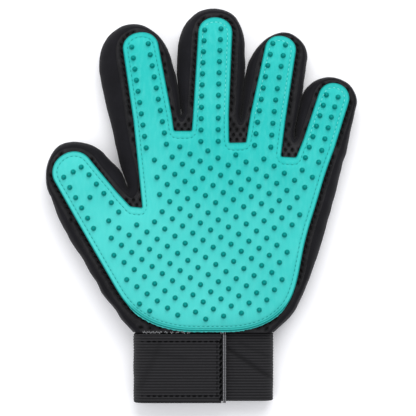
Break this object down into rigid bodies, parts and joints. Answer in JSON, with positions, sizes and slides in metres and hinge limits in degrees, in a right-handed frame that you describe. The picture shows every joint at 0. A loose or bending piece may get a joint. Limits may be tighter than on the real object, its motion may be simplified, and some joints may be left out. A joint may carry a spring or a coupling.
{
  "type": "grooming glove",
  "caption": "Five-finger pet grooming glove with a studded rubber palm, air-mesh body, smooth side bands and a wrap-over wrist strap that fastens with hook and loop tape.",
  "frame": {"origin": "middle of the palm on the surface the glove's back rests on", "axes": "+Y towards the fingertips, +X towards the little finger, +Z out of the studded palm"},
  "size_m": [0.1807, 0.2292, 0.025],
  "materials": {
    "pad_rubber": "soft matt turquoise silicone rubber",
    "palm_air_mesh": "black air mesh with small oval holes",
    "back_air_mesh": "black air mesh with small oval holes",
    "jersey": "smooth black stretch knit",
    "cuff_webbing": "fine cross-ribbed dark grey webbing",
    "strap_binding": "grey folded edge tape",
    "hook_pile": "stiff hook tape",
    "loop_pile": "napped loop tape"
  },
  "bodies": {
    "palm": {"pad_palm": "pad_rubber", "mesh_front_palm": "palm_air_mesh", "back_panel_palm": "back_air_mesh", "palm_side_thumb": "jersey", "crotch_thumb_index": "jersey", "crotch_index_middle": "jersey", "crotch_middle_ring": "jersey", "crotch_ring_little": "jersey", "palm_side_little": "jersey", "cuff_back_band": "cuff_webbing", "cuff_front_band": "cuff_webbing", "loop_tape": "loop_pile"},
    "thumb": {"pad_thumb": "pad_rubber", "mesh_front_thumb": "palm_air_mesh", "back_panel_thumb": "back_air_mesh", "side_band_thumb": "jersey"},
    "index": {"pad_index": "pad_rubber", "mesh_front_index": "palm_air_mesh", "back_panel_index": "back_air_mesh", "side_band_index": "jersey"},
    "middle": {"pad_middle": "pad_rubber", "mesh_front_middle": "palm_air_mesh", "back_panel_middle": "back_air_mesh", "side_band_middle": "jersey"},
    "ring": {"pad_ring": "pad_rubber", "mesh_front_ring": "palm_air_mesh", "back_panel_ring": "back_air_mesh", "side_band_ring": "jersey"},
    "little": {"pad_little": "pad_rubber", "mesh_front_little": "palm_air_mesh", "back_panel_little": "back_air_mesh", "side_band_little": "jersey"},
    "strap": {"strap_flap": "cuff_webbing", "strap_end_binding": "strap_binding", "hook_tape": "hook_pile"}
  },
  "joints": [
    {"name": "thumb_flex", "type": "hinge", "parent": "palm", "child": "thumb", "pos_m": [-0.06445, 0.02171, 0.022], "axis": [0.829, 0.5592, 0], "range_deg": [0, 60]},
    {"name": "index_flex", "type": "hinge", "parent": "palm", "child": "index", "pos_m": [-0.03496, 0.07286, 0.022], "axis": [0.9863, 0.165, 0], "range_deg": [0, 60]},
    {"name": "middle_flex", "type": "hinge", "parent": "palm", "child": "middle", "pos_m": [0.00298, 0.0761, 0.022], "axis": [0.9988, -0.0489, 0], "range_deg": [0, 60]},
    {"name": "ring_flex", "type": "hinge", "parent": "palm", "child": "ring", "pos_m": [0.03604, 0.0735, 0.022], "axis": [0.9826, -0.1857, 0], "range_deg": [0, 60]},
    {"name": "little_flex", "type": "hinge", "parent": "palm", "child": "little", "pos_m": [0.06632, 0.05845, 0.022], "axis": [0.9489, -0.3156, 0], "range_deg": [0, 60]},
    {"name": "strap_peel", "type": "hinge", "parent": "palm", "child": "strap", "pos_m": [-0.042, -0.0718, 0.01035], "axis": [0, -1, 0], "range_deg": [0, 160]}
  ]
}
